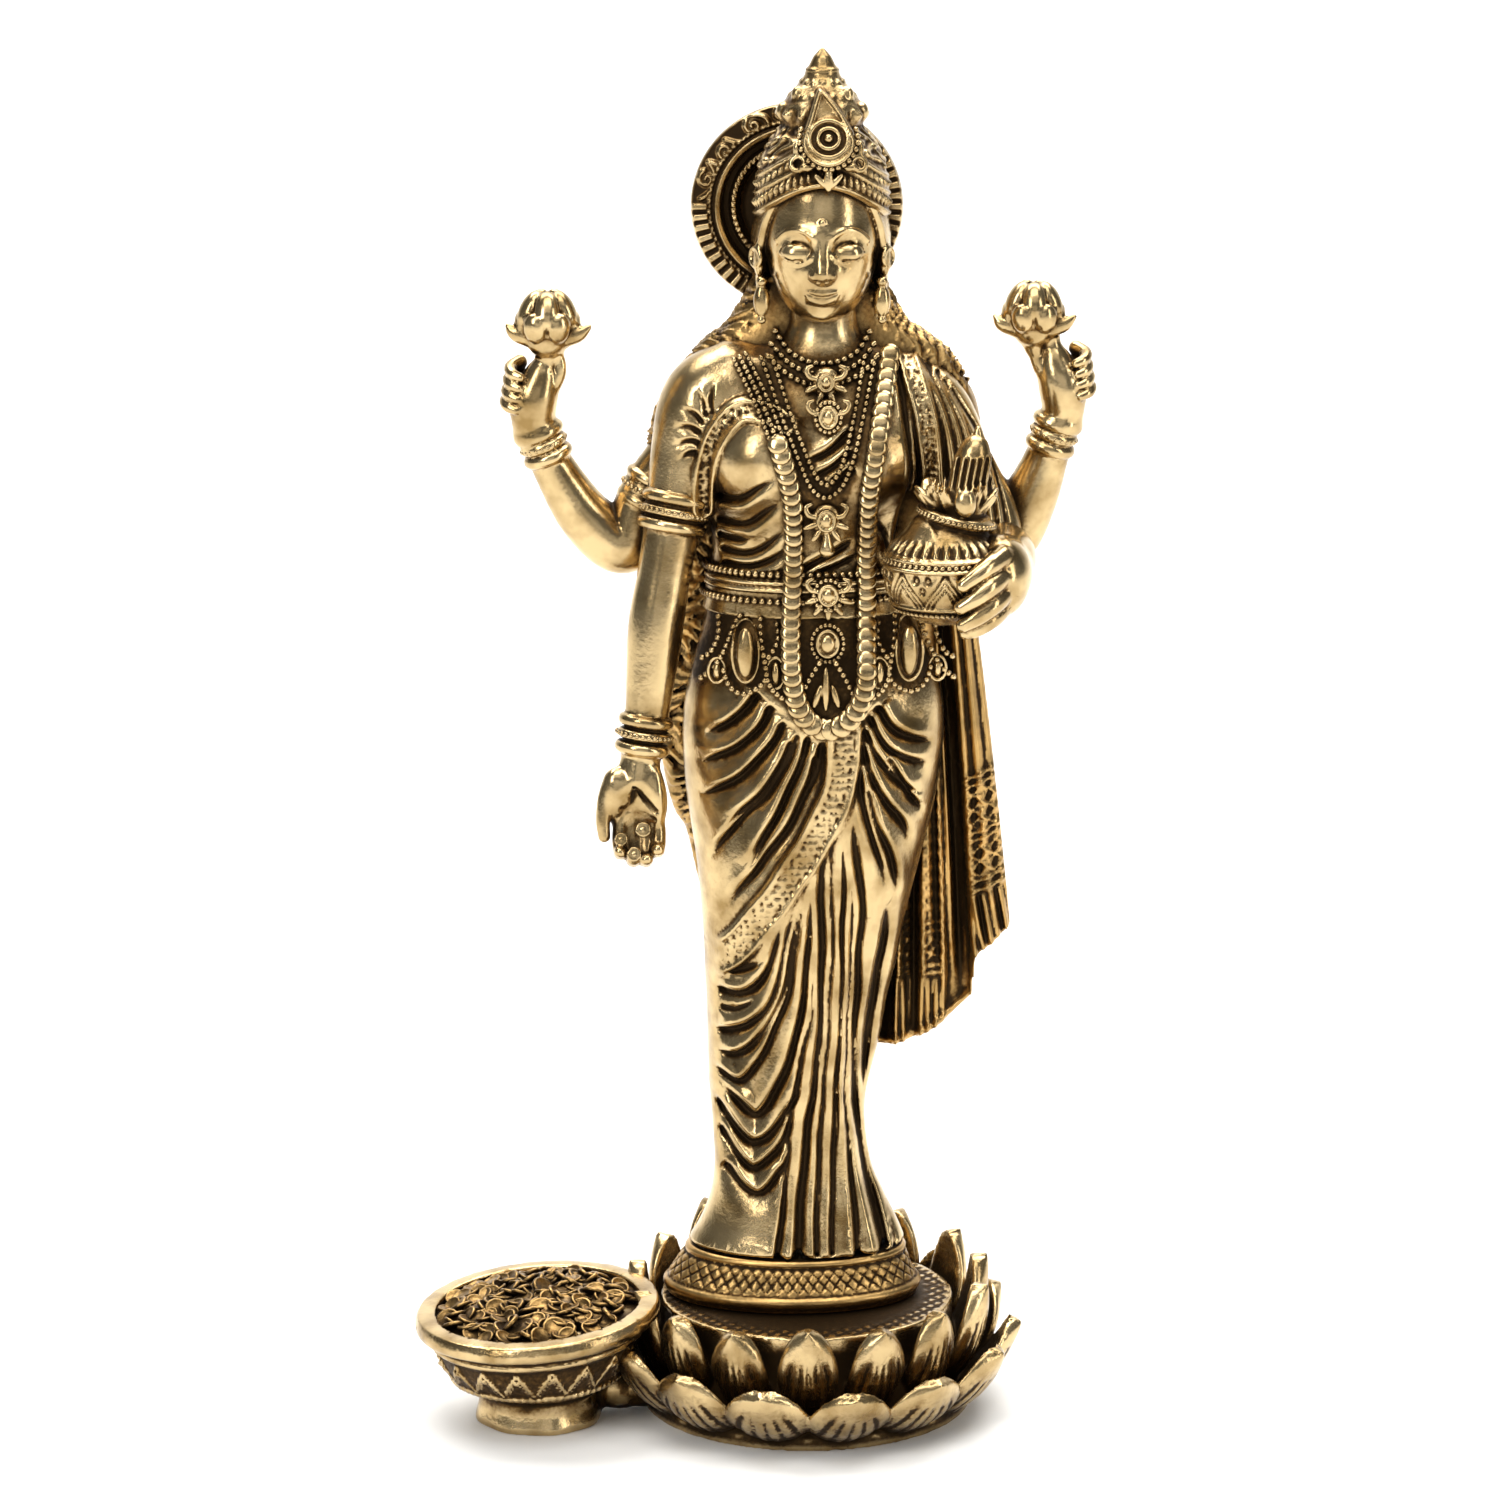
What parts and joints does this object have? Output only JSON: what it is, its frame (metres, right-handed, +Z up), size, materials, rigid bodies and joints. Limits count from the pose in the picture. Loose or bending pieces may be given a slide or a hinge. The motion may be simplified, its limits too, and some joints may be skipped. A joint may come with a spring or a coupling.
{
  "type": "lakshmi figure",
  "caption": "Cast brass four-armed goddess standing on an open lotus base, with raised lotus buds, a pot, a halo and a coin bowl.",
  "frame": {"origin": "centre of the lotus base's flat underside, on the ground", "axes": "+Z up, the figure faces -Y, +X to the viewer's right"},
  "size_m": [0.1237, 0.0788, 0.254],
  "materials": {
    "figure": "cast brass, polished on the high places, dark patina in the recesses",
    "lotus_base": "cast brass, polished on the high places, dark patina in the recesses"
  },
  "bodies": {
    "root": {"figure": "figure", "lotus_base": "lotus_base"}
  },
  "joints": []
}
